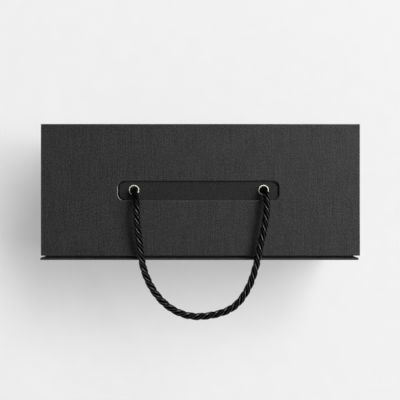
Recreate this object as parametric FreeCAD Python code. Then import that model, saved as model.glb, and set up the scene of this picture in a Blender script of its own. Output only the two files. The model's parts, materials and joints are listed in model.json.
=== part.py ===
import FreeCAD, Part
import math
import os

# A rigid drawer box: a sleeve of wrapped greyboard, a drawer that slides out of
# its front, and a twisted rope handle on top.
# Millimetres. X runs along the box, Y to its back and Z up. The origin is at the
# bottom centre of the footprint, the sleeve and the drawer's front together.

os.makedirs("parts", exist_ok=True)

# ---------------------------------------------------------------- sheet stock
board = 2.0  # greyboard of every wall but the front
front_board = 1.75  # thinner greyboard of the drawer's front
linen = 0.3  # embossed linen paper that covers what shows
lining = 0.15  # plain black paper inside the sleeve and on the tray

# ----------------------------------------------------------- sleeve and front
sleeve_width = 300.0
sleeve_depth = 124.0
sleeve_height = 110.0
wrap_round = 0.5  # radius of a folded edge of the wrap
fold_limit = 5 / 3  # and the most that it can be, in thicknesses of the linen
front_inset = 0.4  # the front is narrower than the sleeve by this much at each side
reveal = 1.95  # gap between the sleeve's mouth and the drawer's front
front_foot = 0.5  # the front hangs this far above the table
front_drop = 0.0  # how far its top edge lies under the sleeve's top

# ----------------------------------------------------------- running clearances
side_play = 1.05  # drawer to sleeve, each side, when it is centred
lean = 0.945  # how far the drawer lies to the left of the middle
slide_gap = 0.25  # under the drawer
top_play = 1.0  # over the drawer's side walls
back_gap = 0.3  # behind the drawer when it is shut
lining_drop = 1.0  # the tray's lining stops this far under the rim
finger_hole_radius = 12.5

# --------------------------------------------------------------------- handle
handle_x = -1.5  # middle of the handle from the middle of the sleeve
handle_y = 0.1  # line of the eyelets behind the sleeve's middle
eyelet_spacing = 122.2
slot_end = 15.1  # from an eyelet to the end of the slot
slot_side = 3.95  # from an eyelet's flange to the slot's long side
slot_shift = 0.9  # the slot's middle lies this far in front of the eyelets
slot_corner = 5.2

rope_diameter = 6.5
rope_fit = 0.4  # rope to eyelet, all round
barrel_wall = 0.45
barrel_fit = 0.05  # barrel to the hole in the board
flange_reach = 1.05  # flange past the barrel
flange_height = 0.7
clinch_reach = 0.9  # the rolled end under the washer
clinch_height = 0.45
eyelet_round = 0.25
washer_reach = 1.5
washer_thickness = 0.4
knot_diameter = 13.5
knot_height = 11.0
knot_round = 3.9
knot_round_share = 0.4  # the most that this can be, as a share of the knot's diameter
knot_gap = 0.2  # knot to the rolled end of the eyelet
knot_clear = 1.5  # knot to the drawer's back wall as it passes under
tail_stand = 0.15  # the fixed rope ends stand this far above the sleeve
pivot_gap = 0.2  # from there to the swinging loop

# The loop's route: across and behind the handle's middle, and above the sleeve.
rope_route = [
    (-57.65, -9.1, 9.0),
    (-56.1, -30.4, 12.0),
    (-53.25, -51.4, 9.6),
    (-50.9, -73.0, 7.0),
    (-43.4, -93.1, 5.6),
    (-29.0, -109.6, 4.8),
    (-9.5, -118.6, 4.5),
    (12.5, -117.6, 4.5),
    (33.0, -110.6, 4.7),
    (46.0, -93.1, 5.4),
    (52.95, -72.6, 6.6),
    (56.9, -51.5, 8.4),
    (61.4, -31.05, 9.4),
    (63.4, -9.6, 8.4),
]
bend_share = 0.45  # of the shorter run beside a bend that its arc takes up

# ------------------------------------------------------------- modelling limits
corner_share = 0.49  # the most that a corner's radius takes of a side
past = 1.0  # how far a cutter reaches past what it cuts
nothing = 1e-6  # lengths below this count as none
straight = 0.99  # an edge this much along an axis counts as lying on it

# ------------------------------------------------------------- derived places
wall = linen + board  # of the sleeve
front_thickness = linen + front_board
fold_radius = min(wrap_round, fold_limit * linen)
front_width = sleeve_width - 2 * front_inset
back_y = (sleeve_depth + reveal + front_thickness) / 2
mouth_y = back_y - sleeve_depth
front_y = -back_y
middle_y = (back_y + mouth_y) / 2

# The boards' envelope, inside the linen.
board_x = sleeve_width / 2 - linen
board_front = mouth_y + linen
board_back = back_y - linen
board_top = sleeve_height - linen

# Under the top board: a linen-faced second board that carries the handle.
recess_floor = board_top - board
handle_board_top = recess_floor - linen
handle_board_bottom = handle_board_top - board

# The bay that the drawer runs in, before and after its lining.
bay_x = board_x - board
bay_back = board_back - board
bay_floor = wall
lined_x = bay_x - lining
lined_back = bay_back - lining
lined_floor = bay_floor + lining
lined_ceiling = handle_board_bottom - lining

eyelet_y = middle_y + handle_y
eyelet_xs = {
    "left": handle_x - eyelet_spacing / 2,
    "right": handle_x + eyelet_spacing / 2,
}
rope_radius = rope_diameter / 2
bore_radius = rope_radius + rope_fit
barrel_radius = bore_radius + barrel_wall
flange_radius = barrel_radius + flange_reach
hole_radius = barrel_radius + barrel_fit
washer_bottom = lined_ceiling - washer_thickness
clinch_bottom = washer_bottom - clinch_height
knot_top = clinch_bottom - knot_gap
knot_bottom = knot_top - knot_height
tail_top = sleeve_height + tail_stand
pivot_z = tail_top + pivot_gap + rope_radius

slot_length = eyelet_spacing + 2 * slot_end
slot_width = 2 * (flange_radius + slot_side)
slot_y = eyelet_y - slot_shift

# The drawer: a front panel, and a tray glued behind it.
drawer_x = -lean
tray_half = lined_x - side_play
tray_front = front_y + front_thickness
tray_back = lined_back - back_gap
tray_bottom = lined_floor + slide_gap
tray_top = lined_ceiling - top_play
back_wall_top = knot_bottom - knot_clear

wood_x = tray_half - lining  # the tray's boards, inside their paper
wood_front = tray_front + lining
wood_back = tray_back - lining
wood_bottom = tray_bottom + lining
wood_floor = wood_bottom + board
wood_top = tray_top - lining
hole_z = (front_foot + sleeve_height - front_drop) / 2


# --------------------------------------------------------------------- helpers
def block(x0, x1, y0, y1, z0, z1):
    return Part.makeBox(x1 - x0, y1 - y0, z1 - z0, FreeCAD.Vector(x0, y0, z0))


def upright(radius, x, y, z0, z1):
    return Part.makeCylinder(radius, z1 - z0, FreeCAD.Vector(x, y, z0))


def cut_all(shape, tools):
    for tool in tools:
        shape = shape.cut(tool)
    return shape


def rounded_plate(length, width, radius, x, y, z0, z1):
    """A plate with round corners, as the slot and its board are cut."""
    radius = min(radius, corner_share * width)
    plate = block(x - length / 2, x + length / 2, y - width / 2, y + width / 2, z0, z1)
    corners = [e for e in plate.Edges if is_upright(e)]
    return plate.makeFillet(radius, corners)


def is_upright(edge):
    along = edge.Vertexes[0].Point.sub(edge.Vertexes[-1].Point)
    return abs(along.z) > straight * along.Length


def folded_edges(shape, z_low):
    """The straight edges of a block, without the four around its underside."""
    return [e for e in shape.Edges if e.CenterOfMass.z > z_low + nothing]


def finger_hole(y0, y1):
    place = FreeCAD.Vector(drawer_x, y0, hole_z)
    return Part.makeCylinder(finger_hole_radius, y1 - y0, place, FreeCAD.Vector(0, 1, 0))


def eyelet_holes(z0, z1):
    return [upright(hole_radius, x, eyelet_y, z0, z1) for x in eyelet_xs.values()]


def save(name, shape):
    solids = shape.Solids
    whole = solids[0] if len(solids) == 1 else Part.makeCompound(solids)
    whole.exportStep(f"parts/{name}.step")
    sound = all(s.isValid() for s in solids)
    print(f"{name}: {len(solids)} solid, {whole.Volume:.1f} mm3, valid {sound}")


# -------------------------------------------------------------- sleeve: boards
def slot_cut(grow, z0, z1):
    return rounded_plate(
        slot_length + 2 * grow,
        slot_width + 2 * grow,
        slot_corner + grow,
        handle_x,
        slot_y,
        z0,
        z1,
    )


def make_sleeve_boards():
    top = block(-board_x, board_x, board_front, board_back, recess_floor, board_top)
    save("sleeve_top_board", top.cut(slot_cut(linen, recess_floor - past, board_top + past)))

    facing = block(-bay_x, bay_x, board_front, bay_back, handle_board_top, recess_floor)
    holes = eyelet_holes(handle_board_top - past, recess_floor + past)
    save("recess_facing", cut_all(facing, holes))

    carrier = block(
        -bay_x, bay_x, board_front, bay_back, handle_board_bottom, handle_board_top
    )
    holes = eyelet_holes(handle_board_bottom - past, handle_board_top + past)
    save("handle_board", cut_all(carrier, holes))

    bottom = block(-board_x, board_x, board_front, board_back, linen, bay_floor)
    save("sleeve_bottom_board", bottom)
    left = block(-board_x, -bay_x, board_front, board_back, bay_floor, recess_floor)
    save("sleeve_left_board", left)
    right = block(bay_x, board_x, board_front, board_back, bay_floor, recess_floor)
    save("sleeve_right_board", right)
    back = block(-bay_x, bay_x, bay_back, board_back, bay_floor, recess_floor)
    save("sleeve_back_board", back)


# -------------------------------------------------------------- sleeve: papers
def make_sleeve_papers():
    half = sleeve_width / 2
    outside = block(-half, half, mouth_y, back_y, linen, sleeve_height)
    outside = outside.makeFillet(fold_radius, folded_edges(outside, linen))
    boards = block(-board_x, board_x, board_front, board_back, linen - past, board_top)
    mouth = block(-bay_x, bay_x, mouth_y - past, board_front + past, bay_floor, handle_board_bottom)
    wrap = cut_all(outside, [boards, mouth])
    wrap = wrap.cut(slot_cut(linen, board_top - past, sleeve_height + past))
    turned_in = slot_cut(linen, recess_floor, sleeve_height)
    turned_in = turned_in.cut(slot_cut(0, recess_floor - past, sleeve_height + past))
    save("sleeve_wrap", wrap.fuse(turned_in).removeSplitter())

    save("sleeve_base_sheet", block(-half, half, mouth_y, back_y, 0, linen))

    bay = block(-bay_x, bay_x, board_front, bay_back, bay_floor, handle_board_bottom)
    inside = block(
        -lined_x, lined_x, board_front - past, lined_back, lined_floor, lined_ceiling
    )
    holes = eyelet_holes(lined_ceiling - past, handle_board_bottom + past)
    save("sleeve_lining", cut_all(bay, [inside] + holes))


# --------------------------------------------------------------------- eyelets
def make_eyelet(side):
    """A tubular eyelet: rolled flange above, barrel, and a rolled end below."""
    top = recess_floor + flange_height
    clinch_radius = barrel_radius + clinch_reach
    lean_in = eyelet_round * (1 - math.sqrt(0.5))

    def at(r, z):
        return FreeCAD.Vector(r, 0, z)

    corners = [
        at(bore_radius, clinch_bottom),
        at(bore_radius, top - eyelet_round),
        at(bore_radius + eyelet_round, top),
        at(flange_radius - eyelet_round, top),
        at(flange_radius, top - eyelet_round),
        at(flange_radius, recess_floor),
        at(barrel_radius, recess_floor),
        at(barrel_radius, washer_bottom),
        at(clinch_radius, washer_bottom),
        at(clinch_radius, clinch_bottom),
    ]
    inner_mid = at(bore_radius + lean_in, top - lean_in)
    outer_mid = at(flange_radius - lean_in, top - lean_in)
    edges = []
    for i, here in enumerate(corners):
        there = corners[(i + 1) % len(corners)]
        if i == 1:
            edges.append(Part.Arc(here, inner_mid, there).toShape())
        elif i == 3:
            edges.append(Part.Arc(here, outer_mid, there).toShape())
        else:
            edges.append(Part.LineSegment(here, there).toShape())
    ring = Part.Face(Part.Wire(edges)).revolve(
        FreeCAD.Vector(0, 0, 0), FreeCAD.Vector(0, 0, 1), 360
    )
    ring.translate(FreeCAD.Vector(eyelet_xs[side], eyelet_y, 0))
    save(f"{side}_eyelet", ring)


def make_washer(side):
    x = eyelet_xs[side]
    disc = upright(barrel_radius + washer_reach, x, eyelet_y, washer_bottom, lined_ceiling)
    hole = upright(hole_radius, x, eyelet_y, washer_bottom - past, lined_ceiling + past)
    save(f"{side}_eyelet_washer", disc.cut(hole))


# ------------------------------------------------------------------------ rope
def make_knot(side):
    lump = upright(knot_diameter / 2, eyelet_xs[side], eyelet_y, knot_bottom, knot_top)
    rims = [e for e in lump.Edges if len(e.Vertexes) == 1]
    rounding = min(knot_round, corner_share * knot_height, knot_round_share * knot_diameter)
    save(f"{side}_knot", lump.makeFillet(rounding, rims))


def make_tail(side):
    x = eyelet_xs[side]
    save(f"{side}_rope_end", upright(rope_radius, x, eyelet_y, knot_top, tail_top))


def rope_wire(points):
    """Straight runs joined by arcs that touch both, and the arcs' radii."""
    edges = []
    radii = []
    start = points[0]
    for before, corner, after in zip(points, points[1:], points[2:]):
        arriving = (corner - before).normalize()
        leaving = (after - corner).normalize()
        turn = arriving.getAngle(leaving)
        trim = bend_share * min((corner - before).Length, (after - corner).Length)
        radius = trim / math.tan(turn / 2)
        bend_from = corner - arriving * trim
        bend_to = corner + leaving * trim
        inward = (leaving - arriving).normalize()
        depth = radius / math.cos(turn / 2) - radius
        middle = corner + inward * depth
        edges.append(Part.LineSegment(start, bend_from).toShape())
        edges.append(Part.Arc(bend_from, middle, bend_to).toShape())
        radii.append(radius)
        start = bend_to
    edges.append(Part.LineSegment(start, points[-1]).toShape())
    return Part.Wire(edges), radii


def make_rope_loop():
    left = FreeCAD.Vector(eyelet_xs["left"], eyelet_y, pivot_z)
    right = FreeCAD.Vector(eyelet_xs["right"], eyelet_y, pivot_z)
    middle = [
        FreeCAD.Vector(handle_x + x, eyelet_y + y, sleeve_height + z)
        for x, y, z in rope_route
    ]
    points = [left] + middle + [right]
    path, radii = rope_wire(points)
    first = (points[1] - points[0]).normalize()
    last = (points[-2] - points[-1]).normalize()
    section = Part.Wire(Part.makeCircle(rope_radius, left, first))
    loop = path.makePipeShell([section], True, False)
    tube_share = loop.Volume / (math.pi * rope_radius**2 * path.Length)
    for end, inwards in ((left, first), (right, last)):
        loop = loop.fuse(Part.makeSphere(rope_radius, end, inwards * -1, 0, 90, 360))
    print("rope runs", [round((b - a).Length, 1) for a, b in zip(points, points[1:])])
    print("rope radii", [round(r, 1) for r in radii])
    print(f"rope length {path.Length:.1f}, volume over section times length {tube_share:.4f}")
    save("rope_handle", loop)


# ---------------------------------------------------------------------- drawer
def make_drawer_front():
    half = front_width / 2
    low = front_foot
    high = sleeve_height - front_drop
    panel = block(
        drawer_x - half + linen,
        drawer_x + half - linen,
        front_y + linen,
        tray_front,
        low + linen,
        high - linen,
    )
    outside = block(drawer_x - half, drawer_x + half, front_y, tray_front, low, high)
    folds = [e for e in outside.Edges if e.CenterOfMass.y < tray_front - nothing]
    outside = outside.makeFillet(fold_radius, folds)
    hole = finger_hole(front_y - past, tray_front + past)
    save("drawer_front_board", panel.cut(hole))
    save("drawer_front_wrap", cut_all(outside, [panel, hole]))


def tray_boards():
    left = drawer_x - wood_x
    right = drawer_x + wood_x
    front_wall = block(
        left + board, right - board, wood_front, wood_front + board, wood_floor, wood_top
    )
    return {
        "tray_bottom_board": block(
            left, right, wood_front, wood_back, wood_bottom, wood_floor
        ),
        "tray_left_wall": block(
            left, left + board, wood_front, wood_back, wood_floor, wood_top
        ),
        "tray_right_wall": block(
            right - board, right, wood_front, wood_back, wood_floor, wood_top
        ),
        "tray_front_wall": front_wall.cut(
            finger_hole(wood_front - past, wood_front + board + past)
        ),
        "tray_back_wall": block(
            left + board,
            right - board,
            wood_back - board,
            wood_back,
            wood_floor,
            back_wall_top - lining,
        ),
    }


def make_tray():
    boards = tray_boards()
    for name, shape in boards.items():
        save(name, shape)

    left = drawer_x - wood_x + board
    right = drawer_x + wood_x - board
    front = wood_front + board
    back = wood_back - board
    hollow = block(left, right, front, back, wood_floor, tray_top + past)
    low_back = block(left, right, back - past, tray_back + past, back_wall_top, tray_top + past)
    outside = block(
        drawer_x - tray_half,
        drawer_x + tray_half,
        tray_front,
        tray_back,
        tray_bottom,
        tray_top,
    )
    hole = finger_hole(tray_front - past, front + lining + past)
    cuts = [hollow, low_back, hole] + list(boards.values())
    save("tray_wrap", cut_all(outside, cuts))

    sheet_top = wood_top - lining_drop
    sheet = block(left, right, front, back, wood_floor, sheet_top)
    inside = block(
        left + lining,
        right - lining,
        front + lining,
        back - lining,
        wood_floor + lining,
        sheet_top + past,
    )
    low_sheet = block(
        left + lining,
        right - lining,
        back - lining - past,
        back + past,
        back_wall_top - lining - lining_drop,
        sheet_top + past,
    )
    save("tray_lining", cut_all(sheet, [inside, low_sheet, hole]))


make_sleeve_boards()
make_sleeve_papers()
for side in eyelet_xs:
    make_eyelet(side)
    make_washer(side)
    make_knot(side)
    make_tail(side)
make_rope_loop()
make_drawer_front()
make_tray()

print(f"slot {slot_length:.1f} x {slot_width:.1f}, middle y {slot_y:.2f}")
print(f"eyelets {eyelet_xs}, y {eyelet_y:.2f}, pivot z {pivot_z:.2f}")
print(f"knots z {knot_bottom:.2f} to {knot_top:.2f}, back wall top {back_wall_top:.2f}")
print(f"tray x +-{tray_half:.2f}, y {tray_front:.2f} to {tray_back:.2f}")
print(f"tray z {tray_bottom:.2f} to {tray_top:.2f}, finger hole z {hole_z:.2f}")
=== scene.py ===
# %% [markdown]
# # A wrapped drawer box with a rope handle
#
# The object is a rigid gift box. Its walls are greyboard, covered outside with embossed black
# linen paper and inside with plain black paper. A drawer slides out of the front of a sleeve,
# and a twisted rope hangs from two metal eyelets in a long recess on top.
#
# Everything is built in metres, in the frame that the solid model gives, and each cell asks the
# frame where a part is. Only what a solid model leaves out gets its size here: how papers fold,
# how a rope's strands lie, and the small ways in which a handmade box is not quite true.

# %% The frame
import json
import math

import bmesh
import bpy
from mathutils import Matrix, Vector

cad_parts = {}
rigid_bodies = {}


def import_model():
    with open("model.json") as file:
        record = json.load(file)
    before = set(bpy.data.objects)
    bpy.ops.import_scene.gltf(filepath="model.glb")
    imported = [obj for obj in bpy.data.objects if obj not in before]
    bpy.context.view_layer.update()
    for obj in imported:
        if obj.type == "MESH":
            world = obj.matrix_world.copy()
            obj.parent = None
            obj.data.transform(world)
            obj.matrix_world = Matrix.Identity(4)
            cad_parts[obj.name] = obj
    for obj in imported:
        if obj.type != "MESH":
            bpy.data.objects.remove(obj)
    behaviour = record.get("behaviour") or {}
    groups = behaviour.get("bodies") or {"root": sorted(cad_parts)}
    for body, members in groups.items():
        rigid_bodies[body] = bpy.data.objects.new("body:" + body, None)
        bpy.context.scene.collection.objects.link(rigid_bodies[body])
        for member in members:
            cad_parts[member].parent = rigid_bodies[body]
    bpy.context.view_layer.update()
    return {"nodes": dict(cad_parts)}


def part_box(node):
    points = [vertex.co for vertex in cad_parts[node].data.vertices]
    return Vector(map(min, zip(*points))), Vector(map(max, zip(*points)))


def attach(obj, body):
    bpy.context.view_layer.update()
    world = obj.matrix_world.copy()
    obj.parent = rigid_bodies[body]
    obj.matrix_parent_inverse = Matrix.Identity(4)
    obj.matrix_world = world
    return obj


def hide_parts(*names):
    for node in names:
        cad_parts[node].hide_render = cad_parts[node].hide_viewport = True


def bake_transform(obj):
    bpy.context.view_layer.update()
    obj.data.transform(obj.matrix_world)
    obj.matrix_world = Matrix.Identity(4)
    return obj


for stray in list(bpy.data.objects):
    bpy.data.objects.remove(stray)
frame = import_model()
MM = 0.001

# %% [markdown]
# ## Where things are
#
# The sheet thicknesses are the box maker's. The rest is read from the parts of the frame, so a
# change of the solid model moves the pieces here with it. The rope's weight has pulled the eyelets
# a little way forward in their board.

# %% Sheet stock and places
LINEN = 0.3 * MM
LINING = 0.15 * MM
BOARD = 2.0 * MM
EYELET_PULL = 0.35 * MM
FOLD = 0.6 * MM  # radius of linen folded over the edge of a board
LINING_FOLD = 0.35 * MM  # the thinner paper of the tray folds more sharply

sleeve_low, sleeve_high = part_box("sleeve_wrap")
front_low, front_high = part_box("drawer_front_wrap")
tray_low, tray_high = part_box("tray_wrap")
lining_low, lining_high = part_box("sleeve_lining")
TOP = sleeve_high.z
RECESS_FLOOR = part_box("recess_facing")[1].z
eyelet_boxes = {side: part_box(f"{side}_eyelet") for side in ("left", "right")}
EYELETS = {side: (low + high) / 2 for side, (low, high) in eyelet_boxes.items()}
EYELET_Y = EYELETS["left"].y
for centre in EYELETS.values():
    centre.y -= EYELET_PULL
HANDLE_X = (EYELETS["left"].x + EYELETS["right"].x) / 2
print("top face at", round(TOP, 4), "eyelets at", EYELETS)

# %% [markdown]
# ## The camera
#
# The box is seen from straight above, so the camera looks down -Z with +Y up in the picture.
# Its height sets how much smaller the table looks than the top of the box, and its lens then
# follows from how much of the top face one picture pixel covers.

# %% Camera
PICTURE = 400
PIXEL = 0.939 * MM  # of the top face
CAMERA_ABOVE_TOP = 502 * MM
CAMERA_X, CAMERA_Y = -0.4 * MM, -7.6 * MM


def add_object(name, data):
    made = bpy.data.objects.new(name, data)
    bpy.context.scene.collection.objects.link(made)
    return made


camera = add_object("camera", bpy.data.cameras.new("camera"))
camera.location = (CAMERA_X, CAMERA_Y, TOP + CAMERA_ABOVE_TOP)
camera.data.angle = 2 * math.atan(PICTURE * PIXEL / 2 / CAMERA_ABOVE_TOP)
camera.data.clip_start = 0.01
camera.data.clip_end = 20
bpy.context.scene.camera = camera
bpy.context.scene.view_settings.view_transform = "Standard"
print("camera angle", round(math.degrees(camera.data.angle), 2))

# %% [markdown]
# ## Node trees in a few words
#
# Materials are graphs, and a few helpers keep them readable. The first adds a node and wires or
# sets its inputs. The others add the nodes that are needed most, and hand back their result.


# %% Helpers for node trees
def add_node(tree, kind, inputs=None, **settings):
    made = tree.nodes.new(kind)
    for name, value in settings.items():
        setattr(made, name, value)
    for name, value in (inputs or {}).items():
        if isinstance(value, bpy.types.NodeSocket):
            tree.links.new(value, made.inputs[name])
        else:
            made.inputs[name].default_value = value
    return made


def calc(tree, operation, first, second=0.0):
    inputs = {0: first, 1: second}
    return add_node(tree, "ShaderNodeMath", inputs, operation=operation).outputs[0]


def times(tree, first, second):
    return calc(tree, "MULTIPLY", first, second)


def remap(tree, value, low, high, to_low=0.0, to_high=1.0, **settings):
    """Carries a value from the range low to high over to another range, and keeps it inside."""
    source = {"Value": value, "From Min": low, "From Max": high}
    target = {"To Min": to_low, "To Max": to_high}
    return add_node(tree, "ShaderNodeMapRange", source | target, **settings).outputs["Result"]


def apart(tree, vector):
    """The X, Y and Z of a vector, by name."""
    return add_node(tree, "ShaderNodeSeparateXYZ", {0: vector}).outputs


def new_group(name, inputs, outputs):
    """An empty node group with named float or vector sockets, and its two end nodes."""
    tree = bpy.data.node_groups.new(name, "ShaderNodeTree")
    for socket, kind, value in inputs:
        made = tree.interface.new_socket(socket, in_out="INPUT", socket_type=kind)
        if value is not None:
            made.default_value = value
    for socket in outputs:
        tree.interface.new_socket(socket, in_out="OUTPUT", socket_type="NodeSocketFloat")
    return tree, tree.nodes.new("NodeGroupInput").outputs, tree.nodes.new("NodeGroupOutput")


def noise(tree, x, y, seed):
    """Noise on coordinates that are already stretched, so one unit is about one blot."""
    place = add_node(tree, "ShaderNodeCombineXYZ", {"X": x, "Y": y, "Z": seed}).outputs[0]
    inputs = {"Vector": place, "Scale": 1.0, "Detail": 2.0, "Roughness": 0.5}
    return add_node(tree, "ShaderNodeTexNoise", inputs).outputs["Fac"]


# %% [markdown]
# ## Linen emboss, as a group
#
# Book cloth paper carries a pressed weave: threads run both ways, each a little thicker here and
# thinner there. The group draws threads across and along the sheet from a position in metres, and
# puts out their height and a shade.
#
# From afar the threads themselves are too fine to see. What an eye or a camera sees is how they
# differ, so the shade adds up noises that are stretched along them: short blots for single
# stitches, long ones for slubs that run on for centimetres, and a slow drift over the sheet. A
# picture of cloth would blur or repeat. This is sharp from near, and never comes twice.


# %% The linen group
LINEN_SHADES = (  # blots per mm across and along the sheet, their share of the shade, and a seed
    (1.3, 0.92, 0.50, 21.0),
    (1.2, 0.20, 0.13, 27.0),
    (1.1, 0.03, 0.14, 29.0),
    (1.0, 1.5, 0.13, 33.0),
    (0.03, 1.1, 0.06, 39.0),
    (0.06, 0.06, 0.04, 47.0),
)


def make_linen_group():
    tree, given, result = new_group(
        "linen emboss",
        [
            ("Sheet", "NodeSocketVector", None),
            ("Threads per mm", "NodeSocketFloat", 1.55),
            ("Slub", "NodeSocketFloat", 0.9),
        ],
        ["Height", "Shade"],
    )
    parts = apart(tree, given["Sheet"])
    u, v = times(tree, parts["X"], 1000.0), times(tree, parts["Y"], 1000.0)  # in mm

    def threads(across, along, seed):
        wander = noise(tree, times(tree, across, 0.25), times(tree, along, 0.12), seed)
        count = times(tree, across, given["Threads per mm"])
        phase = calc(tree, "ADD", count, times(tree, wander, 1.3))
        wave = calc(tree, "COSINE", times(tree, phase, math.tau))
        ridge = times(tree, calc(tree, "ADD", wave, 1.0), 0.5)
        thick = noise(tree, count, times(tree, along, 0.16), seed + 4.0)
        swell = times(tree, calc(tree, "SUBTRACT", thick, 0.5), given["Slub"])
        return times(tree, ridge, calc(tree, "ADD", swell, 0.6))

    warp, weft = threads(u, v, 1.0), threads(v, u, 9.0)
    higher = calc(tree, "MAXIMUM", warp, weft)
    height = calc(tree, "ADD", higher, times(tree, warp, weft))
    tree.links.new(height, result.inputs["Height"])

    shade = 0.0
    for across, along, share, seed in LINEN_SHADES:
        blots = noise(tree, times(tree, u, across), times(tree, v, along), seed)
        shade = calc(tree, "ADD", shade, times(tree, blots, share))
    tree.links.new(shade, result.inputs["Shade"])
    return tree


linen_group = make_linen_group()

# %% [markdown]
# ## Paper grain, as a group
#
# Uncoated paper, greyboard and the table all have a soft random tooth. One group serves the
# three, at a grain size that each material sets.


# %% The grain group
def make_grain_group():
    tree, given, result = new_group(
        "paper grain",
        [("Place", "NodeSocketVector", None), ("Grain in mm", "NodeSocketFloat", 0.4)],
        ["Height", "Shade"],
    )
    per_metre = calc(tree, "DIVIDE", 1000.0, given["Grain in mm"])
    broadly = times(tree, per_metre, 0.06)
    for output, scale, detail, rough in (
        ("Height", per_metre, 3.0, 0.6),
        ("Shade", broadly, 4.0, 0.55),
    ):
        inputs = {"Vector": given["Place"], "Scale": scale, "Detail": detail, "Roughness": rough}
        clouds = add_node(tree, "ShaderNodeTexNoise", inputs).outputs["Fac"]
        tree.links.new(clouds, result.inputs[output])
    return tree


grain_group = make_grain_group()

# %% [markdown]
# ## Materials of the box
#
# Each material keeps its own Principled shader. A group only hands it a height for the bump and
# a shade for the colour. What is the same all over a surface is set on the shader itself.
#
# Linen and its smoother relation in the recess are woven, and follow the sheet's own map. Paper,
# the near-black paper of the painted shade, and board have a grain without a direction, for which
# a place in space is enough. So two makers serve all five: each is told how fine, how dark and how
# rough the sheet is.


# %% Paper and board materials
def new_material(name):
    material = bpy.data.materials.new(name)
    material.use_nodes = True
    tree = material.node_tree
    return material, tree, tree.nodes["Principled BSDF"]


def set_shader(shader, **values):
    for name, value in values.items():
        shader.inputs[name.replace("_", " ")].default_value = value


def shade_between(tree, shader, shade, dark, light, low=0.35, high=0.65):
    """Base Color runs from dark to light as the shade goes from low to high."""
    ramp = add_node(tree, "ShaderNodeValToRGB", {"Fac": shade})
    ramp.color_ramp.elements[0].position = low
    ramp.color_ramp.elements[0].color = (*dark, 1)
    ramp.color_ramp.elements[1].position = high
    ramp.color_ramp.elements[1].color = (*light, 1)
    tree.links.new(ramp.outputs["Color"], shader.inputs["Base Color"])


def bump(tree, shader, height, depth, strength):
    inputs = {"Height": height, "Distance": depth, "Strength": strength}
    made = add_node(tree, "ShaderNodeBump", inputs)
    tree.links.new(made.outputs["Normal"], shader.inputs["Normal"])


def spread(tree, shader, socket, shade, low, high):
    tree.links.new(remap(tree, shade, 0.3, 0.7, low, high), shader.inputs[socket])


def burnish(tree, shader, coat):
    """Folded paper is smoothed by handling: only the folds get a thin glossy coat."""
    folded = add_node(tree, "ShaderNodeAttribute", attribute_name="fold").outputs["Fac"]
    tree.links.new(times(tree, folded, coat), shader.inputs["Coat Weight"])


def make_woven(name, threads_per_mm, light, contrast, rough, depth, coat=0.0, **settings):
    """A material with the linen group, on the piece's own map."""
    material, tree, shader = new_material(name)
    sheet = add_node(tree, "ShaderNodeUVMap", uv_map="sheet").outputs["UV"]
    inputs = {"Sheet": sheet, "Threads per mm": threads_per_mm}
    weave = add_node(tree, "ShaderNodeGroup", inputs, node_tree=linen_group).outputs
    shade_between(tree, shader, weave["Shade"], (0.002, 0.002, 0.0021), light, *contrast)
    spread(tree, shader, "Roughness", weave["Shade"], *rough)
    if coat:
        burnish(tree, shader, coat)
    bump(tree, shader, weave["Height"], depth, 0.5)
    set_shader(shader, **settings)
    return material


def grain(tree, size):
    """The grain group on the place in space, with a grain of so many millimetres."""
    place = add_node(tree, "ShaderNodeTexCoord").outputs["Object"]
    inputs = {"Place": place, "Grain in mm": size}
    return add_node(tree, "ShaderNodeGroup", inputs, node_tree=grain_group).outputs


def make_grainy(name, size, colours, rough, relief, colour_by="Height", **settings):
    """A material with the grain group. The output that isn't its colour is its roughness."""
    material, tree, shader = new_material(name)
    given = grain(tree, size)
    shade_between(tree, shader, given[colour_by], *colours)
    rough_by = "Shade" if colour_by == "Height" else "Height"
    spread(tree, shader, "Roughness", given[rough_by], *rough)
    bump(tree, shader, given["Height"], *relief)
    set_shader(shader, **settings)
    return material


# %% The five sheets
linen = make_woven(
    "black linen paper",
    threads_per_mm=1.55,
    light=(0.0365, 0.0365, 0.037),
    contrast=(0.454, 0.566),
    rough=(0.70, 0.54),
    depth=0.06 * MM,
    coat=0.9,
    Specular_IOR_Level=0.4,
    Coat_Roughness=0.2,
    Coat_IOR=1.75,
)
recess_paper = make_woven(
    "smooth black linen",
    threads_per_mm=1.9,
    light=(0.022, 0.022, 0.0225),
    contrast=(0.44, 0.58),
    rough=(0.80, 0.70),
    depth=0.04 * MM,
    Specular_IOR_Level=0.32,
)
black_paper = make_grainy(
    "plain black paper",
    size=0.35,
    colours=((0.0135, 0.0135, 0.014), (0.019, 0.019, 0.0195)),
    rough=(0.72, 0.86),
    relief=(0.02 * MM, 0.6),
    colour_by="Shade",
    Specular_IOR_Level=0.35,
)
# Near black, darker than the plain black paper: painted shade, laid where a gap should look dark.
painted_shade_paper = make_grainy(
    "near-black paper for painted shade",
    size=0.25,
    colours=((0.0004, 0.0004, 0.0004), (0.003, 0.003, 0.003)),
    rough=(0.85, 0.95),
    relief=(0.03 * MM, 0.6),
    Specular_IOR_Level=0.1,
)
greyboard = make_grainy(
    "greyboard",
    size=0.8,
    colours=((0.20, 0.185, 0.165), (0.33, 0.31, 0.28)),
    rough=(0.85, 0.95),
    relief=(0.05 * MM, 0.7),
)
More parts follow.
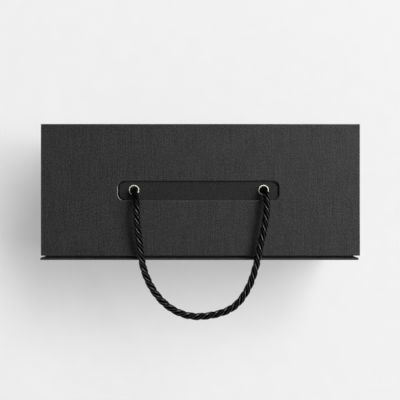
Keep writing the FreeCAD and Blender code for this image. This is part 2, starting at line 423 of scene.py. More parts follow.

# %% [markdown]
# ## Rope and metal
#
# The rope is silky: hundreds of fine filaments lie side by side in each strand. The strand's own
# map gives a position round it and along it, and a sine on that position makes the filaments,
# which cross the strand at a slant because the yarn is twisted too.
#
# The filaments lie in a few thicker yarns, which show as ridges along the strand. Where the strand
# stands out furthest, hands have smoothed the ridges and they get a glossy coat. They are also
# coloured lighter there, which is a painted sheen, so they show as thin light lines. Towards the
# ends down in the eyelets both fade out, so those stay dull and black: that is painted shade.
#
# The eyelets are plated brass. Metal is mostly what it reflects, so the material stays simple:
# a warm light grey, satin rather than polished, with faint marks from the press.


# %% Rope and metal materials
FILAMENTS = 26  # fine lines round one strand
FILAMENT_SLANT = 170.0  # extra turns of the pattern per metre of strand
YARNS = 4  # ridges round one strand
YARN_TURN = 1.5  # how fast the ridges wind round it, in radians per metre of strand
CREST = 0.28  # share of a strand's girth, each side of its crest, with some gloss and painted sheen
CREST_TOP = 0.12  # and the share with the most
HANDLE_ROPE_LENGTH = 317.5  # in mm, from one knot to the other
SHADED_ENDS = (  # mm from each end: painted shade to here, gloss and painted sheen from there
    (13, 30),
    (HANDLE_ROPE_LENGTH - 8, HANDLE_ROPE_LENGTH - 20),
)


def make_rope_silk():
    material, tree, shader = new_material("black rope silk")
    strand = add_node(tree, "ShaderNodeUVMap", uv_map="strand").outputs["UV"]
    parts = apart(tree, strand)
    girth, along = parts["X"], parts["Y"]  # as a share of one turn, and in metres

    slanted = calc(tree, "ADD", times(tree, girth, FILAMENTS), times(tree, along, FILAMENT_SLANT))
    blot = noise(tree, times(tree, girth, 7.0), times(tree, along, 260.0), 3.0)
    turn = times(tree, calc(tree, "ADD", slanted, blot), math.tau)
    filament = calc(tree, "ADD", times(tree, calc(tree, "SINE", turn), 0.5), 0.5)
    own = noise(tree, slanted, times(tree, along, 70.0), 5.0)
    uneven = calc(tree, "ADD", own, 0.4)
    bump(tree, shader, times(tree, filament, uneven), 0.05 * MM, 0.7)

    yarn = calc(tree, "ADD", times(tree, girth, math.pi * YARNS), times(tree, along, YARN_TURN))
    yarn_top = calc(tree, "POWER", calc(tree, "ABSOLUTE", calc(tree, "SINE", yarn)), 4.0)
    from_crest = calc(tree, "PINGPONG", girth, 0.5)
    crest = remap(tree, from_crest, CREST, CREST_TOP, interpolation_type="SMOOTHSTEP")
    gloss_and_sheen = times(tree, times(tree, crest, yarn_top), uneven)
    for shaded_to, sheen_from in SHADED_ENDS:
        gloss_and_sheen = times(tree, gloss_and_sheen, remap(tree, along, shaded_to * MM, sheen_from * MM))
    # The crests' lighter colour is a painted sheen for the silk's highlights; the coat is real
    # gloss.
    shade_between(tree, shader, gloss_and_sheen, (0.0004, 0.0004, 0.0005), (0.026, 0.026, 0.027), 0.2, 0.8)
    spread(tree, shader, "Roughness", own, 0.30, 0.20)
    spread(tree, shader, "Coat Weight", gloss_and_sheen, 0.0, 0.87)
    set_shader(shader, Specular_IOR_Level=0.04, Coat_Roughness=0.15)
    return material


rope_silk = make_rope_silk()
eyelet_metal = make_grainy(
    "nickel plate",
    size=0.25,
    colours=((0.93, 0.89, 0.82), (0.98, 0.95, 0.90)),
    rough=(0.72, 0.80),
    relief=(0.01 * MM, 0.5),
    colour_by="Shade",
    Metallic=1.0,
)

# %% [markdown]
# ## Table and light
#
# The table is a plain pale sheet. One large soft lamp stands on the right and a little behind,
# about as high as it is far, and nine metres away, so that its light is even over the whole
# table. The rest of the light comes from all round. A share is the part of the light on a flat
# surface that a source gives. The two add up to about one, so that a colour renders about as it
# is written.
#
# The camera, and whatever mirrors, sees the table partly as a glowing sheet, as on a product
# table with a light under it. That softens the shadow and puts no light on the object. They also
# see a white backdrop, but only low down, so that the black linen has nothing white to mirror.

# %% Table and light
AMBIENT = 0.16  # the share of the surroundings
LAMP_SHARE = 0.86
LAMP_SPREAD = 1.13  # a wide lamp's ends are further off, so it needs this much more
LAMP_BEARING = math.radians(30)
LAMP_ELEVATION = math.radians(48)
LAMP_DISTANCE = 9.0
LAMP_WIDTH = 9.75
LAMP_HEIGHT = 3.9
TABLE_GLOW = 0.37  # how much of the table's look is glow
BACKDROP_TOP = math.sin(math.radians(18))  # how high up the white backdrop reaches


def seen_directly(tree):
    """One for rays from the camera and for those that mirror or let through what lies behind."""
    rays = add_node(tree, "ShaderNodeLightPath").outputs
    mirrored = calc(tree, "MAXIMUM", rays["Is Glossy Ray"], rays["Is Transmission Ray"])
    return calc(tree, "MAXIMUM", rays["Is Camera Ray"], mirrored)


def to_mesh(bm, name, material):
    mesh = bpy.data.meshes.new(name)
    bm.to_mesh(mesh)
    bm.free()
    mesh.materials.append(material)
    return mesh


def make_table():
    material, tree, shader = new_material("table sheet")
    shade = grain(tree, 1.2)["Shade"]
    shade_between(tree, shader, shade, (0.892, 0.892, 0.893), (0.905, 0.905, 0.906))
    set_shader(shader, Roughness=0.95, Specular_IOR_Level=0.0)
    colour = shader.inputs["Base Color"].links[0].from_socket
    glow = add_node(tree, "ShaderNodeEmission", {"Color": colour})
    share = times(tree, seen_directly(tree), TABLE_GLOW)
    mix = add_node(tree, "ShaderNodeMixShader", {0: share})
    tree.links.new(shader.outputs[0], mix.inputs[1])
    tree.links.new(glow.outputs[0], mix.inputs[2])
    tree.links.new(mix.outputs[0], tree.nodes["Material Output"].inputs["Surface"])
    bm = bmesh.new()
    bmesh.ops.create_grid(bm, x_segments=4, y_segments=4, size=4.0)
    table = add_object("table", to_mesh(bm, "table", material))


def make_lamp():
    turn, rise = LAMP_BEARING, LAMP_ELEVATION
    towards = Vector(
        (math.cos(turn) * math.cos(rise), math.sin(turn) * math.cos(rise), math.sin(rise))
    )
    data = bpy.data.lights.new("soft lamp", "AREA")
    data.shape = "RECTANGLE"
    data.size = LAMP_WIDTH
    data.size_y = LAMP_HEIGHT
    power = LAMP_SHARE * LAMP_SPREAD * math.pi**2
    data.energy = power * LAMP_DISTANCE**2 / math.sin(rise)
    lamp = add_object("soft lamp", data)
    lamp.location = towards * LAMP_DISTANCE
    lamp.rotation_mode = "QUATERNION"
    lamp.rotation_quaternion = towards.to_track_quat("Z", "Y")


def make_surroundings():
    world = bpy.data.worlds.new("surroundings")
    bpy.context.scene.world = world
    world.use_nodes = True
    tree = world.node_tree
    direction = add_node(tree, "ShaderNodeTexCoord").outputs["Generated"]
    low_down = remap(tree, apart(tree, direction)["Z"], BACKDROP_TOP, BACKDROP_TOP / 2)
    backdrop = times(tree, low_down, seen_directly(tree))
    strength = remap(tree, backdrop, 0.0, 1.0, AMBIENT, 1.0)
    background = tree.nodes["Background"]
    background.inputs["Color"].default_value = (1, 1, 1, 1)
    tree.links.new(strength, background.inputs["Strength"])


make_table()
make_lamp()
make_surroundings()

# %% [markdown]
# ## Tools for sheet work
#
# All the paper pieces are made alike. A block is folded at its edges with a bevel, faces are
# taken out where the box is open, and what is left is a skin that a Solidify modifier gives the
# thickness of the paper. Maps are laid flat on each face in metres, so the weave has the same
# size everywhere and runs on round a fold.


# %% Sheet helpers
def block(bm, low, high):
    """A box between two corners. Returns its vertices."""
    low, high = Vector(low), Vector(high)
    verts = bmesh.ops.create_cube(bm, size=1.0)["verts"]
    bmesh.ops.scale(bm, vec=high - low, verts=verts)
    bmesh.ops.translate(bm, vec=(low + high) / 2, verts=verts)
    return verts


def rectangle(bm, middle, width, depth):
    """A level flat face. Returns its corners."""
    verts = bmesh.ops.create_grid(bm, x_segments=1, y_segments=1, size=0.5)["verts"]
    bmesh.ops.scale(bm, vec=(width, depth, 1), verts=verts)
    bmesh.ops.translate(bm, vec=middle, verts=verts)
    return verts


def fold(bm, geom, radius, steps=6, affect="EDGES"):
    """Rounds edges, as folded paper does, or the corners of a flat face."""
    bmesh.ops.bevel(
        bm,
        geom=list(geom),
        offset=radius,
        offset_type="OFFSET",
        segments=steps,
        profile=0.5,
        affect=affect,
        clamp_overlap=True,
        material=-1,
    )


def facing(bm, direction):
    """The largest face that points that way."""
    bm.normal_update()
    ahead = [f for f in bm.faces if f.normal.dot(Vector(direction)) > 0.999]
    return max(ahead, key=lambda f: f.calc_area())


def open_face(bm, face):
    """Takes a face out and returns the edges round the hole."""
    border = list(face.edges)
    bmesh.ops.delete(bm, geom=[face], context="FACES_ONLY")
    return border


def extend(bm, edges, place):
    """Carries a border on to where place() puts each of its corners. Returns the new border."""
    made = bmesh.ops.extrude_edge_only(bm, edges=edges)["geom"]
    for item in made:
        if isinstance(item, bmesh.types.BMVert):
            item.co = place(item.co)
    return [e for e in made if isinstance(e, bmesh.types.BMEdge) and e.is_boundary]


def fill_flat(bm, edges, normal):
    """Fills the flat space between an outer border and any outlines inside it."""
    bmesh.ops.triangle_fill(bm, use_beauty=True, use_dissolve=False, edges=edges, normal=normal)


def lay_map(bm, gloss_and_sheen=1.0):
    """Maps each face in metres, by the two axes that it spans, and marks its glossy folds."""
    bm.normal_update()
    sheet = bm.loops.layers.uv.verify()
    folded = bm.verts.layers.float.new("fold")
    for vert in bm.verts:
        vert[folded] = gloss_and_sheen
    for face in bm.faces:
        axis = max(range(3), key=lambda i: abs(face.normal[i]))
        across, up = [(1, 2), (0, 2), (0, 1)][axis]
        face.smooth = abs(face.normal[axis]) < 0.999
        for loop in face.loops:
            loop[sheet].uv = (loop.vert.co[across], loop.vert.co[up])
            if not face.smooth:
                loop.vert[folded] = 0.0


def place_piece(bm, name, material, body, replaces=(), thickness=0.0, uv="sheet"):
    """Turns a bmesh into a finished piece that moves with a body, if it has one of its own."""
    mesh = to_mesh(bm, name, material)
    if mesh.uv_layers:
        mesh.uv_layers[0].name = uv
    piece = add_object(name, mesh)
    if thickness:
        paper = piece.modifiers.new("paper thickness", "SOLIDIFY")
        paper.thickness = thickness
        paper.offset = -1
        paper.use_even_offset = True
    if body:
        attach(piece, body)
    if replaces:
        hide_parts(*replaces)
    print(f"{name}: {len(mesh.polygons)} faces")
    return piece


def face_outwards(bm, seen_from):
    """Makes the faces of an open skin agree, and point to the side that is looked at."""
    aim = Vector(seen_from)
    bmesh.ops.recalc_face_normals(bm, faces=bm.faces)
    bm.normal_update()
    flat = [f for f in bm.faces if abs(f.normal.dot(aim)) > 0.99]
    nearest = max(flat, key=lambda f: f.calc_center_median().dot(aim))
    if nearest.normal.dot(aim) < 0:
        bmesh.ops.reverse_faces(bm, faces=bm.faces)


# %% [markdown]
# ## The sleeve's linen wrap
#
# One large sheet of linen paper goes round the sleeve. At the mouth it is turned over the
# boards' edges and a little way inside. On top it is cut out for the handle, and turned down
# into the slot over the edge of the board.
#
# The skin starts as a block with all its edges folded. The front face is opened and drawn inwards
# for the mouth. The top face is opened too and filled again around the slot's outline.
#
# The slot's outline is a rectangle with its corners bevelled. The paper rolls over the board's
# edge in small steps, each an inset of that outline, and then goes straight down.

# %% Slot outline
SLOT_LENGTH = 151.3 * MM
SLOT_WIDTH = 18.2 * MM
SLOT_CORNER = 6.2 * MM
SLOT_MIDDLE = (HANDLE_X - 0.25 * MM, EYELET_Y - 0.9 * MM)
SLOT_FOLD = 1.0 * MM


def slot_outline(bm, grow, z):
    """A flat face with the slot's outline, grown all round."""
    length, width = SLOT_LENGTH + 2 * grow, SLOT_WIDTH + 2 * grow
    corners = rectangle(bm, (*SLOT_MIDDLE, z), length, width)
    fold(bm, corners, SLOT_CORNER + grow, 10, "VERTICES")
    return max(bm.faces, key=lambda face: len(face.verts))


def inset_face(bm, face, inwards, down):
    bmesh.ops.inset_region(
        bm, faces=[face], thickness=inwards, depth=-down, use_boundary=True, use_even_offset=True
    )


def roll_in(bm, face, radius, depth, steps=6):
    """Rolls a loose face's border over a quarter circle, then sinks it. Returns the outline."""
    others = {e for e in bm.edges if e.is_boundary} - set(face.edges)
    for step in range(steps):
        here, there = (math.pi / 2 * k / steps for k in (step, step + 1))
        inwards = radius * (math.sin(there) - math.sin(here))
        down = radius * (math.cos(here) - math.cos(there))
        inset_face(bm, face, inwards, down)
    if depth > radius:
        inset_face(bm, face, 0, depth - radius)
    return [e for e in bm.edges if e.is_boundary and e not in others]


# %% The wrap
TURN_IN = 15 * MM
MOUTH_STEP = 0.05 * MM  # the turned-in linen lies just over the lining
MOUTH_FOLD = 0.7 * FOLD
UNDER_WRAP = 0.15 * MM  # the wrap's underside is this far above the base sheet's
BACK_PROUD = 0.12 * MM  # the sheet pasted on the back stands this far off the wrap


def make_sleeve_wrap():
    bm = bmesh.new()
    low = (sleeve_low.x, sleeve_low.y, UNDER_WRAP)
    high = (sleeve_high.x, sleeve_high.y - BACK_PROUD, TOP)
    block(bm, low, high)
    fold(bm, bm.edges, FOLD)

    mouth_x = lining_high.x - LINING - MOUTH_STEP
    mouth_low = lining_low.z + LINING + MOUTH_STEP
    mouth_high = lining_high.z - LINING - MOUTH_STEP

    def to_mouth(corner):
        z = mouth_low if corner.z < TOP / 2 else mouth_high
        return Vector((math.copysign(mouth_x, corner.x), corner.y, z))

    rim = extend(bm, open_face(bm, facing(bm, (0, -1, 0))), to_mouth)
    extend(bm, rim, lambda corner: corner + Vector((0, TURN_IN, 0)))
    fold(bm, rim, MOUTH_FOLD, 3)

    border = open_face(bm, facing(bm, (0, 0, 1)))
    outline = slot_outline(bm, SLOT_FOLD, TOP)
    if outline.normal.z < 0:
        outline.normal_flip()
    outline_edges = roll_in(bm, outline, SLOT_FOLD, TOP - RECESS_FLOOR)
    bmesh.ops.delete(bm, geom=[outline], context="FACES_ONLY")
    fill_flat(bm, border + outline_edges, (0, 0, 1))
    face_outwards(bm, (0, 0, 1))
    lay_map(bm)
    return place_piece(
        bm, "sleeve_linen_wrap", linen, "sleeve", ["sleeve_wrap"], LINEN * 0.9
    )


make_sleeve_wrap()

# %% [markdown]
# ## Sheets that close the sleeve
#
# The wrap's cut edges end on the back and on the underside, where the maker pastes one more
# sheet over them, a little smaller than the face. A sheet that is flat all over needs no skin and
# modifier. It is quicker as a thin block, with its edges just broken.

# %% Back sheet and base sheet
SHEET_INSET = 1.6 * MM
SHEET_EDGE = 0.1 * MM


def make_plate(name, low, high, replaces=()):
    bm = bmesh.new()
    block(bm, low, high)
    fold(bm, bm.edges, SHEET_EDGE, 2)
    lay_map(bm)
    return place_piece(bm, name, linen, "sleeve", replaces)


inset = Vector((SHEET_INSET, 0, SHEET_INSET))
make_plate(
    "sleeve_back_sheet",
    Vector((sleeve_low.x, sleeve_high.y - LINEN, UNDER_WRAP)) + inset,
    Vector((sleeve_high.x, sleeve_high.y, TOP)) - inset,
)
inset = Vector((SHEET_INSET, SHEET_INSET, 0))
make_plate(
    "sleeve_base_cover",
    Vector((sleeve_low.x, sleeve_low.y, 0)) + inset,
    Vector((sleeve_high.x, sleeve_high.y, LINEN)) - inset,
    ["sleeve_base_sheet"],
)

# %% [markdown]
# ## The floor of the recess
#
# Under the slot lies a second board, faced with a linen that is pressed smoother. It carries the
# eyelets, so its facing has two round holes. The sheet is filled between its border and the two
# circles.
#
# At the slot's left end a thin near-black band lies on the floor along the foot of the lip:
# painted shade, for the dark gap there. The slot's outline is drawn once more and inset, and of
# the narrow band between the two only the left end is kept.


# %% Recess floor
EYELET_HOLE = 4.2 * MM  # radius, a little wider than an eyelet's barrel
# The band of painted shade at the slot's left end: its width, and the thickness of its paper.
SHADE_LINE = 1.1 * MM
SHADE_LINE_PAPER = 0.06 * MM


def make_recess_floor():
    low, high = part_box("recess_facing")
    bm = bmesh.new()
    middle = (low + high) / 2
    rectangle(bm, (middle.x, middle.y, high.z), high.x - low.x, high.y - low.y)
    open_face(bm, bm.faces[:][0])
    for centre in EYELETS.values():
        spot = Matrix.Translation((centre.x, centre.y, high.z))
        bmesh.ops.create_circle(bm, cap_ends=False, radius=EYELET_HOLE, segments=40, matrix=spot)
    fill_flat(bm, list(bm.edges), (0, 0, 1))
    face_outwards(bm, (0, 0, 1))
    lay_map(bm)
    return place_piece(
        bm, "recess_floor_linen", recess_paper, "sleeve", ["recess_facing"], LINEN
    )


# Painted shade: a near-black band at the foot of the slot's left lip.
def make_slot_shade_line():
    bm = bmesh.new()
    face = slot_outline(bm, 0, RECESS_FLOOR + SHADE_LINE_PAPER)
    inset_face(bm, face, SHADE_LINE, 0)
    left_end = SLOT_MIDDLE[0] - SLOT_LENGTH / 2 + SLOT_CORNER
    others = [f for f in bm.faces if f.calc_center_median().x > left_end]
    bmesh.ops.delete(bm, geom=others, context="FACES")
    face_outwards(bm, (0, 0, 1))
    lay_map(bm)
    return place_piece(bm, "slot_shade_line", painted_shade_paper, "sleeve", (), SHADE_LINE_PAPER)


make_recess_floor()
make_slot_shade_line()

# %% [markdown]
# ## Eyelets and washers
#
# An eyelet is a short tube whose top is rolled outwards over the linen and whose bottom is
# rolled over a washer. It could be put together from a tube and two rings, but then they would
# cut through each other. So its section is drawn once as a closed line and spun round the hole,
# as on a lathe. The washer is spun from a small rounded section in the same way.


# %% Turned metal
def half_round(inner, outer, z, height, steps=10, fullness=1.0):
    """Points of a half ellipse from the outer radius to the inner one, bulging by height.

    A fullness below one fills its shoulders out, so that its top is flatter.
    """
    middle, reach = (inner + outer) / 2, (outer - inner) / 2
    points = []
    for turn in (math.pi * k / steps for k in range(steps + 1)):
        across = math.copysign(abs(math.cos(turn)) ** fullness, math.cos(turn))
        up = max(math.sin(turn), 0) ** fullness
        points.append((middle + reach * across, z + height * up))
    return points


def turn_on_lathe(name, section, centre, replaces):
    bm = bmesh.new()
    verts = [bm.verts.new((centre.x + r, centre.y, z)) for r, z in section]
    edges = [bm.edges.new(pair) for pair in zip(verts, verts[1:] + verts[:1])]
    axis_point = (centre.x, centre.y, 0)
    bmesh.ops.spin(
        bm,
        geom=verts + edges,
        cent=axis_point,
        axis=(0, 0, 1),
        angle=math.tau,
        steps=72,
        use_merge=True,
    )
    bmesh.ops.remove_doubles(bm, verts=bm.verts, dist=1e-7)
    bmesh.ops.recalc_face_normals(bm, faces=bm.faces)
    for face in bm.faces:
        face.smooth = True
    return place_piece(bm, name, eyelet_metal, "sleeve", replaces)


BORE = 3.88 * MM
BARREL = 4.1 * MM
FLANGE = 4.85 * MM
CLINCH = 5.0 * MM  # the lower end, which is rolled over the washer
WASHER_HOLE = 4.15 * MM
WASHER_ROUND = 0.15 * MM


def make_eyelet(side):
    low, high = eyelet_boxes[side]
    washer_low, washer_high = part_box(f"{side}_eyelet_washer")
    top_roll = half_round(BORE, FLANGE, RECESS_FLOOR, high.z - RECESS_FLOOR, 12, 0.55)
    clinch = half_round(BORE, CLINCH, washer_low.z, low.z - washer_low.z)
    section = top_roll + list(reversed(clinch)) + [(BARREL, washer_low.z), (BARREL, RECESS_FLOOR)]
    turn_on_lathe(f"{side}_eyelet_turned", section, EYELETS[side], [f"{side}_eyelet"])
    reach = washer_high.x - EYELETS[side].x - WASHER_ROUND
    rim = half_round(0, washer_high.z - washer_low.z, 0, WASHER_ROUND, 6)
    outer = [(reach + bulge, washer_low.z + z) for z, bulge in rim]
    washer = outer + [(WASHER_HOLE, washer_low.z), (WASHER_HOLE, washer_high.z)]
    turn_on_lathe(f"{side}_washer_turned", washer, EYELETS[side], [f"{side}_eyelet_washer"])


for side in EYELETS:
    make_eyelet(side)

# %% [markdown]
# ## The rope's route
#
# The rope comes up out of the left eyelet, bends forward over the box, hangs out past the front
# edge in a U and comes back to the right eyelet. Its line is a smooth NURBS curve. The control
# points were chosen along the real rope: they give the route, and the curve cuts their corners.
# Blender then hands back points along it, and everything on the rope follows those.

# %% Route and spline
ROPE = 6.5 * MM
ROPE_STEP = 0.6 * MM
ROPE_ROUTE = [  # across and behind the middle of the handle, and above the sleeve, in mm
    (-61.1, 0.0, -5.9),
    (-61.1, 0.0, -1.6),
    (-61.1, 0.0, 3.0),
    (-57.65, -9.1, 9.0),
    (-56.9, -30.4, 12.0),
    (-54.1, -51.4, 9.6),
    (-51.9, -73.0, 7.0),
    (-43.4, -93.1, 5.6),
    (-29.0, -109.6, 4.8),
    (-9.5, -118.6, 4.5),
    (12.5, -117.6, 4.5),
    (33.0, -110.6, 4.7),
    (46.0, -93.1, 5.4),
    (52.95, -72.6, 6.6),
    (56.9, -51.5, 8.4),
    (61.4, -31.05, 9.4),
    (63.4, -9.6, 8.4),
    (61.1, 0.0, 3.0),
    (61.1, 0.0, -1.6),
    (61.1, 0.0, -5.9),
]


def spline_points(points, resolution=24):
    """Points along a smooth NURBS curve with these control points."""
    curve = bpy.data.curves.new("line", "CURVE")
    curve.dimensions = "3D"
    curve.resolution_u = resolution
    spline = curve.splines.new("NURBS")
    spline.points.add(len(points) - 1)
    for point, place in zip(spline.points, points):
        point.co = (*place, 1)
    spline.order_u = 3
    spline.use_endpoint_u = True
    holder = bpy.data.objects.new("line", curve)
    mesh = bpy.data.meshes.new_from_object(holder)
    line = [v.co.copy() for v in mesh.vertices]
    bpy.data.meshes.remove(mesh)
    bpy.data.curves.remove(curve)
    return line


def evenly(line, step):
    """The same line again with points about one step apart, and its length."""
    along = [0.0]
    for a, b in zip(line, line[1:]):
        along.append(along[-1] + (b - a).length)
    count = max(2, math.ceil(along[-1] / step))
    places, at = [], 0
    for k in range(count + 1):
        wanted = along[-1] * k / count
        while at < len(along) - 2 and along[at + 1] < wanted:
            at += 1
        share = (wanted - along[at]) / max(along[at + 1] - along[at], 1e-12)
        places.append(line[at].lerp(line[at + 1], share))
    return places, along[-1]


handle_origin = Vector((HANDLE_X, EYELET_Y, TOP))
rope_controls = [handle_origin + Vector(p) * MM for p in ROPE_ROUTE]
rope_line, rope_length = evenly(spline_points(rope_controls), ROPE_STEP)
print("rope length", round(rope_length, 4), "points", len(rope_line))

# %% [markdown]
# ## Three strands, laid to the left
#
# The rope has three strands that wind round each other like the middle stroke of an S. Each is a
# tube of its own. A curve with a round bevel gives a tube too, but a plain round one. Here a grid
# of faces is laid round the strand and along it, and each vertex is moved to its place. So the
# grooves between the yarns can be pressed in, and the grid's own map says where on the strand a
# point lies.


# %% Strand tools
STRAND_OUT = 0.54  # from the rope's middle to a strand's, as a share of the rope's radius
STRAND_DEEP = 0.53  # a strand's own half size outwards, as a share of the same
STRAND_WIDE = 0.54  # and sideways, where it presses on its neighbours
YARN_DEPTH = 0.36  # of the grooves between the yarns, as a share of the strand's half size


def turning_frames(line):
    """A tangent, and two directions across it that don't spin, for each point of a line."""
    frames = []
    normal = None
    for k in range(len(line)):
        tangent = (line[min(k + 1, len(line) - 1)] - line[max(k - 1, 0)]).normalized()
        if normal is None:
            normal = tangent.orthogonal().normalized()
        else:
            normal = (normal - tangent * normal.dot(tangent)).normalized()
        frames.append((tangent, normal, tangent.cross(normal)))
    return frames


def strand_centres(line, frames, step, radius, pitch, start):
    """The middle of one strand: it turns left-handed round the rope's line."""
    centres = []
    for k, place in enumerate(line):
        turn = start - math.tau * k * step / pitch
        _, normal, across = frames[k]
        centres.append(place + radius * (math.cos(turn) * normal + math.sin(turn) * across))
    return centres


def add_strand(bm, rope_points, centres, deep, wide, length, around=48):
    """A tube through the centres, flattened towards the rope's middle, with ridges round it."""
    along = len(centres) - 1
    grid = bmesh.ops.create_grid(bm, x_segments=around, y_segments=along, size=0.5, calc_uvs=True)
    frames = turning_frames(centres)
    for vert in grid["verts"]:
        ring = round((vert.co.y + 0.5) * along)
        share = vert.co.x + 0.5
        tangent = frames[ring][0]
        outwards = centres[ring] - rope_points[ring]
        outwards = (outwards - tangent * outwards.dot(tangent)).normalized()
        beside = tangent.cross(outwards)
        turn = math.tau * share
        lobe = abs(math.sin(YARNS * turn / 2 + YARN_TURN * length * ring / along))
        ridges = 1 - YARN_DEPTH * (1 - math.sqrt(lobe))
        across = deep * math.cos(turn) * outwards + wide * math.sin(turn) * beside
        vert.co = centres[ring] + ridges * across
    strand = bm.loops.layers.uv.active
    for face in {f for v in grid["verts"] for f in v.link_faces}:
        face.smooth = True
        for loop in face.loops:
            loop[strand].uv.y *= length


def make_rope(name, line, length, radius, pitch, body, replaces=()):
    """Three strands round a line of evenly spaced points, in one mesh."""
    bm = bmesh.new()
    bm.loops.layers.uv.new("strand")
    step = length / (len(line) - 1)
    frames = turning_frames(line)
    for strand in range(3):
        start = math.tau * strand / 3
        centres = strand_centres(line, frames, step, radius * STRAND_OUT, pitch, start)
        add_strand(bm, line, centres, radius * STRAND_DEEP, radius * STRAND_WIDE, length)
    bmesh.ops.remove_doubles(bm, verts=bm.verts, dist=1e-7)
    ends = [e for e in bm.edges if e.is_boundary]
    bmesh.ops.holes_fill(bm, edges=ends, sides=0)
    bmesh.ops.recalc_face_normals(bm, faces=bm.faces)
    return place_piece(bm, name, rope_silk, body, replaces, uv="strand")


# %% [markdown]
# ## The handle rope
#
# The loop swings, but its ends stay in the eyelets, which belong to the sleeve. The rope is one
# mesh, and here it is made where it lies and joined to no body.

# %% The handle rope
PITCH = 27.5 * MM  # of rope, for one turn of a strand

rope = make_rope(
    "handle_rope",
    rope_line,
    rope_length,
    ROPE / 2,
    PITCH,
    None,
    ["rope_handle", "left_rope_end", "right_rope_end"],
)
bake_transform(rope)

# %% [markdown]
# ## Knots
#
# Under the board each end is tied in an overhand knot, pulled tight against the washer. The knot
# follows a route of its own: down the middle, once round outside, and under itself to a short
# cut end. So the tools that made the rope make the knot as well, only thinner, because the rope
# is pulled tight there. The two are turned differently, as no hand ties two alike.

# %% Knots
KNOT_ROUTE = [  # from the eyelet's middle and up from the knot's top, in mm
    (0.0, 0.0, 0.6),
    (0.4, 0.0, -2.2),
    (1.2, -1.0, -5.4),
    (2.6, -3.0, -8.0),
    (-1.2, -4.8, -8.4),
    (-4.6, -2.0, -6.6),
    (-4.4, 2.8, -5.0),
    (-0.4, 4.9, -3.9),
    (4.0, 3.2, -3.4),
    (5.0, -1.2, -4.0),
    (2.4, -4.6, -4.6),
    (-1.6, -3.6, -5.8),
    (-2.2, 0.6, -7.6),
    (-0.2, 2.6, -8.4),
    (1.6, 3.8, -8.8),
]
KNOT_ROPE = 4.3 * MM
KNOT_PITCH = 0.8 * PITCH
KNOT_TURN = {"left": 0.0, "right": math.radians(140)}


def make_knot(side):
    knot_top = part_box(f"{side}_knot")[1].z
    origin = Vector((EYELETS[side].x, EYELETS[side].y, knot_top))
    turned = Matrix.Rotation(KNOT_TURN[side], 3, "Z")
    controls = [origin + turned @ Vector(p) * MM for p in KNOT_ROUTE]
    line, length = evenly(spline_points(controls), ROPE_STEP)
    name, replaces = f"{side}_knot_tied", [f"{side}_knot"]
    return make_rope(name, line, length, KNOT_ROPE / 2, KNOT_PITCH, "sleeve", replaces)


knots = [make_knot(side) for side in EYELETS]

# %% [markdown]
# ## The drawer's front
#
# The front panel is one board wrapped in linen. The paper is turned over all four edges onto the
# back, where the tray covers its cut edges. It is made like the sleeve's wrap: a folded block,
# opened at its back and drawn inwards. A round finger hole goes through the middle, lined from
# both sides by the linen and the tray's paper, so that no grey board shows.
#
# The front stands a little higher than the tray. A strip of plain paper covers that part of its
# back, over the cut edge of the linen. Its near-black colour is painted shade, which makes the gap
# above the front look dark.


# %% Drawer front
FINGER_HOLE = 12.2 * MM  # the papers line the hole in the boards, which is 0.3 mm wider
FRONT_TURN_IN = 14 * MM
BACK_FOLD = 0.4 * MM
PROUD = 0.04 * MM  # the turned-in paper stands this far off the board's back
STRIP_GAP = 0.1 * MM  # from the top of the tray to the paper strip
STRIP_EDGE = 0.04 * MM
hole_middle = Vector(((tray_low.x + tray_high.x) / 2, 0, (front_low.z + front_high.z) / 2))


def hole_cap(bm, radius, y, outwards):
    """A flat disc in the plane of the front, facing along -Y or +Y."""
    turned = Matrix.Rotation(math.radians(90 if outwards < 0 else -90), 4, "X")
    place = Matrix.Translation((hole_middle.x, y, hole_middle.z)) @ turned
    disc = bmesh.ops.create_circle(bm, cap_ends=True, radius=radius, segments=64, matrix=place)
    face = disc["verts"][0].link_faces[0]
    face.normal_update()
    if face.normal.y * outwards < 0:
        face.normal_flip()
    return face


def make_front():
    bm = bmesh.new()
    block(bm, front_low, front_high + Vector((0, PROUD, 0)))
    at_back = [e for e in bm.edges if all(v.co.y > front_high.y for v in e.verts)]
    fold(bm, [e for e in bm.edges if e not in at_back], FOLD)
    fold(bm, facing(bm, (0, 1, 0)).edges, BACK_FOLD, 3)
    back_border = open_face(bm, facing(bm, (0, 1, 0)))

    def turned_in(corner):
        x = corner.x + math.copysign(FRONT_TURN_IN, hole_middle.x - corner.x)
        z = corner.z + math.copysign(FRONT_TURN_IN, hole_middle.z - corner.z)
        return Vector((x, corner.y, z))

    extend(bm, back_border, turned_in)
    border = open_face(bm, facing(bm, (0, -1, 0)))
    cap = hole_cap(bm, FINGER_HOLE + FOLD, front_low.y, -1)
    outline = roll_in(bm, cap, FOLD, front_high.y - front_low.y)
    bmesh.ops.delete(bm, geom=[cap], context="FACES_ONLY")
    fill_flat(bm, border + outline, (0, -1, 0))
    face_outwards(bm, (0, -1, 0))
    lay_map(bm, 0.1)
    return place_piece(
        bm, "drawer_front_linen", linen, "drawer", ["drawer_front_wrap"], LINEN * 0.9
    )


# The strip's near-black colour is painted shade for the gap above the front.
def make_front_back_strip():
    bm = bmesh.new()
    back = front_high.y + PROUD
    low = (front_low.x + FOLD, back, tray_high.z + STRIP_GAP)
    high = (front_high.x - FOLD, back + LINING, front_high.z - BACK_FOLD)
    block(bm, low, high)
    fold(bm, bm.edges, STRIP_EDGE, 2)
    lay_map(bm)
    return place_piece(bm, "front_back_strip", painted_shade_paper, "drawer")


make_front()
make_front_back_strip()

# %% [markdown]
# ## The tray
#
# The tray's walls are boards under black paper, which is folded over their top edges. The paper
# runs on round all corners, so five separate walls would show seams that it doesn't have. It is
# one closed skin instead: a floor plan of nine cells is extruded to the floor, and the cells of
# the walls further up. The back wall stops lower, to pass under the knots. The finger hole is
# rolled in from both sides of the front wall, and a bridge of faces joins the two rolls.


# %% Tray
TRAY_CORNER = 0.45 * MM


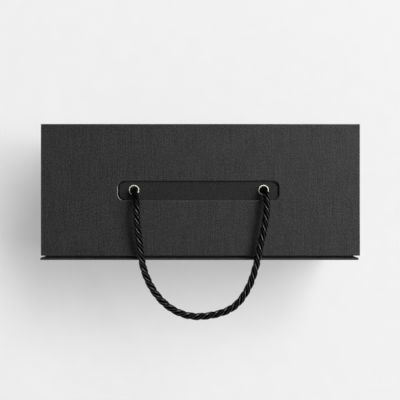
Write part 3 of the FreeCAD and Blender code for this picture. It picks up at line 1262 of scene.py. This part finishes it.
def make_tray():
    wall = 2 * LINING + BOARD
    low, high = tray_low, tray_high
    back_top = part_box("tray_back_wall")[1].z + LINING
    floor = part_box("tray_bottom_board")[1].z + LINING
    lines = {
        "x": [low.x, low.x + wall, high.x - wall, high.x],
        "y": [low.y, low.y + wall, high.y - wall, high.y],
    }
    bm = bmesh.new()
    plan = bmesh.ops.create_grid(bm, x_segments=3, y_segments=3, size=1.5)["verts"]
    for vert in plan:
        column, row = round(vert.co.x + 1.5), round(vert.co.y + 1.5)
        vert.co = Vector((lines["x"][column], lines["y"][row], low.z))

    def cell(face):
        middle = face.calc_center_median()
        column = sum(middle.x > x for x in lines["x"][1:3])
        row = sum(middle.y > y for y in lines["y"][1:3])
        return column, row

    def raise_to(faces, z):
        made = bmesh.ops.extrude_face_region(bm, geom=faces)["geom"]
        verts = [g for g in made if isinstance(g, bmesh.types.BMVert)]
        for vert in verts:
            vert.co.z = z
        if z > floor:
            bmesh.ops.delete(bm, geom=faces, context="FACES")
        return [g for g in made if isinstance(g, bmesh.types.BMFace)]

    def at_depth(face, y):
        return abs(face.calc_center_median().y - y) < 1e-5

    top = raise_to(list(bm.faces), floor)
    walls = raise_to([f for f in top if cell(f) != (1, 1)], back_top)
    raise_to([f for f in walls if cell(f) != (1, 2)], high.z)
    bmesh.ops.remove_doubles(bm, verts=bm.verts, dist=1e-7)
    bmesh.ops.recalc_face_normals(bm, faces=bm.faces)
    bmesh.ops.dissolve_limit(
        bm,
        angle_limit=math.radians(1),
        verts=bm.verts,
        edges=bm.edges,
        use_dissolve_boundaries=False,
    )
    bm.normal_update()

    inside_y = low.y + wall
    outer_face = facing(bm, (0, -1, 0))
    inner_face = max(
        (f for f in bm.faces if f.normal.y > 0.99 and at_depth(f, inside_y)),
        key=lambda f: f.calc_area(),
    )
    rings = []
    for face, y, outwards in ((outer_face, low.y, -1), (inner_face, inside_y, 1)):
        border = open_face(bm, face)
        cap = hole_cap(bm, FINGER_HOLE + LINING_FOLD, y, outwards)
        outline = roll_in(bm, cap, LINING_FOLD, LINING_FOLD)
        rings += cap.edges
        bmesh.ops.delete(bm, geom=[cap], context="FACES_ONLY")
        fill_flat(bm, border + outline, (0, outwards, 0))
    bmesh.ops.bridge_loops(bm, edges=rings)
    bmesh.ops.recalc_face_normals(bm, faces=bm.faces)
    corners = [e for e in bm.edges if e.is_manifold and e.calc_face_angle() > math.radians(60)]
    fold(bm, corners, TRAY_CORNER, 3)
    replaces = ["tray_wrap", "tray_lining"]
    return place_piece(
        bm, "drawer_tray_paper", black_paper, "drawer", replaces, LINING * 0.8
    )


make_tray()

# %% [markdown]
# ## What the solid model already shows well
#
# The boards are plain panels that stay hidden under their papers, and the sleeve's lining is a
# flat sheet. Making them again would gain nothing, so they only take a finish.

# %% Finishes on the frame's own parts
for name, part in frame["nodes"].items():
    finish = black_paper if name == "sleeve_lining" else greyboard
    part.data.materials.clear()
    part.data.materials.append(finish)
